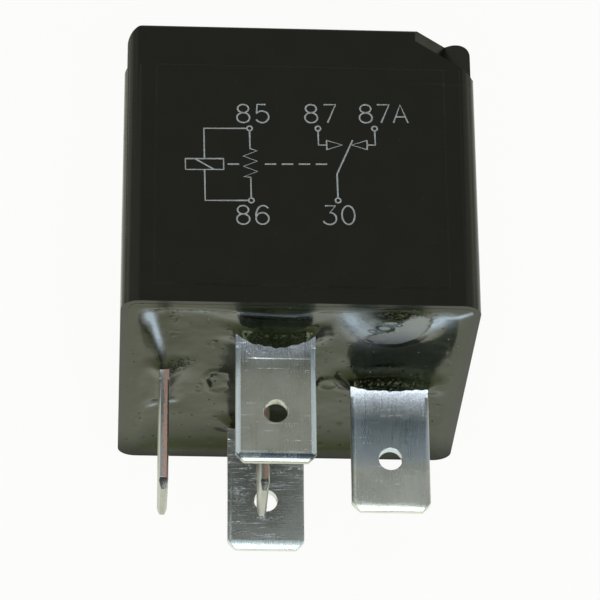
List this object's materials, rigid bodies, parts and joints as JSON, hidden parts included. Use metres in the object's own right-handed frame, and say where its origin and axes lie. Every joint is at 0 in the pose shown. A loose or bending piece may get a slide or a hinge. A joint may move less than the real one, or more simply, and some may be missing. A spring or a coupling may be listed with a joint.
{
  "type": "plug-in power relay",
  "caption": "Cube-shaped plug-in changeover relay: a black cover sealed with potting compound, flat blade terminals, and a hinged armature with a contact spring inside.",
  "frame": {"origin": "middle of the flat back face of the cover, on which the relay lies", "axes": "+Z out of the label face, +Y from the blade tips towards the roof of the cover, +X to the right across the label face"},
  "size_m": [0.028, 0.0361, 0.0285],
  "materials": {
    "cover_plastic": "fine moulded satin",
    "header_plastic": "moulded",
    "potting": "glossy cast epoxy",
    "tinned_brass": "dull tin plate",
    "plated_steel": "nickel plated",
    "bobbin_plastic": "natural glass-filled nylon",
    "enamelled_copper": "enamelled wire",
    "spring_bronze": "rolled strip",
    "rivet_steel": "headed",
    "contact_silver": "silver alloy",
    "resistor_lacquer": "lacquered"
  },
  "bodies": {
    "housing": {"cover": "cover_plastic", "header": "header_plastic", "seal": "potting", "terminal_30": "tinned_brass", "terminal_85": "tinned_brass", "terminal_86": "tinned_brass", "terminal_87": "tinned_brass", "terminal_87a": "tinned_brass", "yoke": "plated_steel", "core": "plated_steel", "bobbin": "bobbin_plastic", "winding": "enamelled_copper", "winding_leads": "enamelled_copper", "spring_rivets": "rivet_steel", "make_contact": "contact_silver", "break_contact": "contact_silver", "resistor": "resistor_lacquer", "resistor_leads": "tinned_brass"},
    "armature": {"armature": "plated_steel", "contact_spring": "spring_bronze", "armature_rivets": "rivet_steel", "moving_contact": "contact_silver"}
  },
  "joints": [
    {"name": "armature_hinge", "type": "hinge", "parent": "housing", "child": "armature", "pos_m": [0.0099, 0.00691, 0.01395], "axis": [0, 0, 1], "range_deg": [0, 2.6], "stiffness_Nm_per_rad": 0.02, "springref_deg": -20.05, "deforming": ["contact_spring"]}
  ]
}
